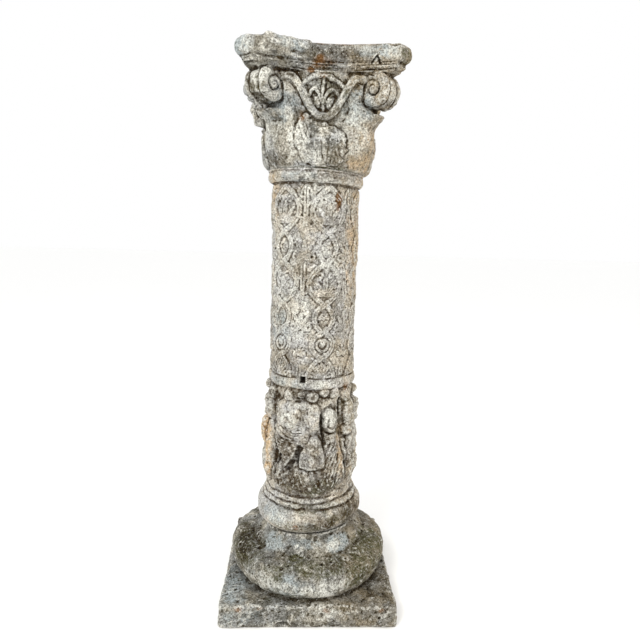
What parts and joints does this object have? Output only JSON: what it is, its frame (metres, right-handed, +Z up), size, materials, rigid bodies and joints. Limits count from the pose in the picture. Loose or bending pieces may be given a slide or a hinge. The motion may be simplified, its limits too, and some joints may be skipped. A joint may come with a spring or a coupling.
{
  "type": "column pedestal",
  "caption": "Weathered cast stone column pedestal: square plinth, relief carved round shaft and a capital with corner scrolls under a flat square top.",
  "frame": {"origin": "middle of the plinth's underside", "axes": "+Z up along the column, front of the column towards -Y"},
  "size_m": [0.36, 0.36, 1.1284],
  "materials": {
    "base_stone": "rough cast stone, mottled grey with olive moss and pits",
    "shaft_stone": "rough cast stone, grey-white with tan staining and dark grime in the carving",
    "capital_stone": "rough cast stone, grey with pale blue-grey lichen and dark grime"
  },
  "bodies": {
    "root": {"base": "base_stone", "shaft": "shaft_stone", "capital": "capital_stone"}
  },
  "joints": []
}
